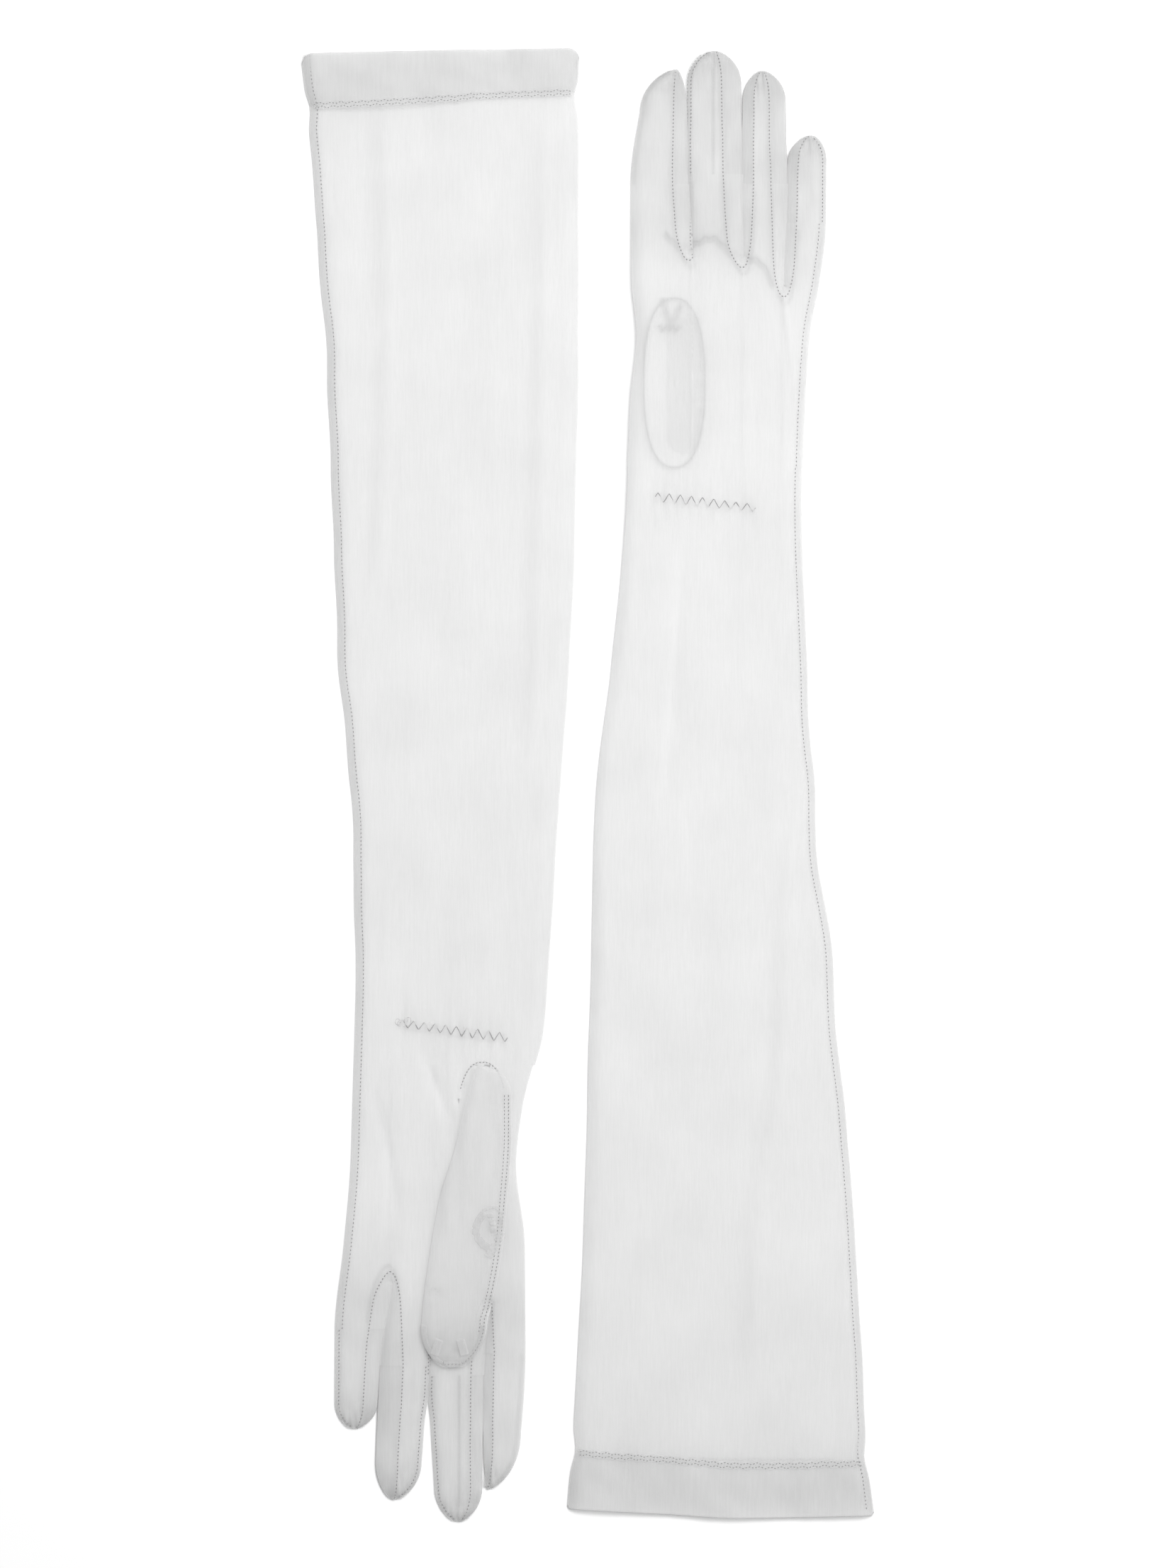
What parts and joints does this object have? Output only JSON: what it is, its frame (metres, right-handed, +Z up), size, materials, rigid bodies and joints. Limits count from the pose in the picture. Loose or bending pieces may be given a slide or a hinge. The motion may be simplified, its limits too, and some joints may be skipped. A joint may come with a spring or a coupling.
{
  "type": "opera gloves",
  "caption": "Pair of long sheer white opera gloves laid flat side by side, one palm up and one back up, with seamed fingers, thumbs in oval holes, gathered wrists and deep turned hems",
  "frame": {"origin": "on the table under the middle of the pair's bounding box", "axes": "+Y along the gloves, towards the right glove's fingertips and the left glove's cuff; +X from the left glove to the right glove; +Z up from the table"},
  "size_m": [0.234, 0.602, 0.0084],
  "materials": {
    "panel_cloth": "sheer fine warp knit, white, slight sheen",
    "hem_cloth": "the same sheer knit turned double, so it looks denser",
    "gusset_cloth": "the same sheer knit in narrow strips, seams overcast",
    "seam_cloth": "seam allowance with fine white overcast thread",
    "elastic": "white elastic, zigzag stitched"
  },
  "bodies": {
    "left_upper": {"left_hem": "hem_cloth", "left_upper_palm_panel": "panel_cloth", "left_upper_back_panel": "panel_cloth", "left_upper_fold_edge": "panel_cloth", "left_upper_side_seam": "seam_cloth"},
    "left_forearm": {"left_forearm_palm_panel": "panel_cloth", "left_forearm_back_panel": "panel_cloth", "left_forearm_fold_edge": "panel_cloth", "left_forearm_side_seam": "seam_cloth", "left_wrist_elastic": "elastic"},
    "left_hand": {"left_hand_palm_panel": "panel_cloth", "left_hand_back_panel": "panel_cloth", "left_hand_fold_edge": "panel_cloth", "left_hand_side_seam": "seam_cloth", "left_fourchette_crotches": "gusset_cloth", "left_thumb_base": "panel_cloth"},
    "left_index": {"left_index_palm_panel": "panel_cloth", "left_index_back_panel": "panel_cloth", "left_index_fourchette": "gusset_cloth"},
    "left_middle": {"left_middle_palm_panel": "panel_cloth", "left_middle_back_panel": "panel_cloth", "left_middle_fourchette": "gusset_cloth"},
    "left_ring": {"left_ring_palm_panel": "panel_cloth", "left_ring_back_panel": "panel_cloth", "left_ring_fourchette": "gusset_cloth"},
    "left_little": {"left_little_palm_panel": "panel_cloth", "left_little_back_panel": "panel_cloth", "left_little_fourchette": "gusset_cloth"},
    "left_thumb": {"left_thumb_stall": "panel_cloth"},
    "right_upper": {"right_hem": "hem_cloth", "right_upper_palm_panel": "panel_cloth", "right_upper_back_panel": "panel_cloth", "right_upper_fold_edge": "panel_cloth", "right_upper_side_seam": "seam_cloth"},
    "right_forearm": {"right_forearm_palm_panel": "panel_cloth", "right_forearm_back_panel": "panel_cloth", "right_forearm_fold_edge": "panel_cloth", "right_forearm_side_seam": "seam_cloth", "right_wrist_elastic": "elastic"},
    "right_hand": {"right_hand_palm_panel": "panel_cloth", "right_hand_back_panel": "panel_cloth", "right_hand_fold_edge": "panel_cloth", "right_hand_side_seam": "seam_cloth", "right_fourchette_crotches": "gusset_cloth", "right_thumb_base": "panel_cloth"},
    "right_index": {"right_index_palm_panel": "panel_cloth", "right_index_back_panel": "panel_cloth", "right_index_fourchette": "gusset_cloth"},
    "right_middle": {"right_middle_palm_panel": "panel_cloth", "right_middle_back_panel": "panel_cloth", "right_middle_fourchette": "gusset_cloth"},
    "right_ring": {"right_ring_palm_panel": "panel_cloth", "right_ring_back_panel": "panel_cloth", "right_ring_fourchette": "gusset_cloth"},
    "right_little": {"right_little_palm_panel": "panel_cloth", "right_little_back_panel": "panel_cloth", "right_little_fourchette": "gusset_cloth"},
    "right_thumb": {"right_thumb_stall": "panel_cloth"}
  },
  "joints": [
    {"name": "right_glove_lift", "type": "slide", "parent": "left_upper", "child": "right_upper", "axis": [0, 0, 1], "range_m": [0, 0.1]},
    {"name": "left_elbow_fold", "type": "hinge", "parent": "left_upper", "child": "left_forearm", "pos_m": [-0.0548, 0.135, 0.0056], "axis": [-1, 0, 0], "range_deg": [0, 90]},
    {"name": "left_wrist_fold", "type": "hinge", "parent": "left_forearm", "child": "left_hand", "pos_m": [-0.05665, -0.1, 0.0056], "axis": [-1, 0, 0], "range_deg": [0, 80]},
    {"name": "left_index_fold", "type": "hinge", "parent": "left_hand", "child": "left_index", "pos_m": [-0.0338, -0.232, 0.0056], "axis": [-1, 0, 0], "range_deg": [0, 90]},
    {"name": "left_middle_fold", "type": "hinge", "parent": "left_hand", "child": "left_middle", "pos_m": [-0.0531, -0.241, 0.0056], "axis": [-1, 0, 0], "range_deg": [0, 90]},
    {"name": "left_ring_fold", "type": "hinge", "parent": "left_hand", "child": "left_ring", "pos_m": [-0.0738, -0.237, 0.0056], "axis": [-1, 0, 0], "range_deg": [0, 90]},
    {"name": "left_little_fold", "type": "hinge", "parent": "left_hand", "child": "left_little", "pos_m": [-0.0938, -0.222, 0.0056], "axis": [-1, 0, 0], "range_deg": [0, 90]},
    {"name": "right_elbow_fold", "type": "hinge", "parent": "right_upper", "child": "right_forearm", "pos_m": [0.0519, -0.119, 0.0056], "axis": [1, 0, 0], "range_deg": [0, 90]},
    {"name": "right_wrist_fold", "type": "hinge", "parent": "right_forearm", "child": "right_hand", "pos_m": [0.0516, 0.116, 0.0084], "axis": [1, 0, 0], "range_deg": [0, 70]},
    {"name": "right_index_fold", "type": "hinge", "parent": "right_hand", "child": "right_index", "pos_m": [0.0289, 0.246, 0.0084], "axis": [1, 0, 0], "range_deg": [0, 90]},
    {"name": "right_middle_fold", "type": "hinge", "parent": "right_hand", "child": "right_middle", "pos_m": [0.0518, 0.25, 0.0084], "axis": [1, 0, 0], "range_deg": [0, 90]},
    {"name": "right_ring_fold", "type": "hinge", "parent": "right_hand", "child": "right_ring", "pos_m": [0.0721, 0.246, 0.0084], "axis": [1, 0, 0], "range_deg": [0, 90]},
    {"name": "right_little_fold", "type": "hinge", "parent": "right_hand", "child": "right_little", "pos_m": [0.0894, 0.23, 0.0084], "axis": [1, 0, 0], "range_deg": [0, 90]},
    {"name": "left_thumb_lift", "type": "hinge", "parent": "left_hand", "child": "left_thumb", "pos_m": [-0.0487, -0.178, 0.0084], "axis": [-1, 0, 0], "range_deg": [0, 90]},
    {"name": "right_thumb_swing", "type": "hinge", "parent": "right_hand", "child": "right_thumb", "pos_m": [0.0394, 0.19, 0.0013], "axis": [0, 0, -1], "range_deg": [0, 40]}
  ]
}
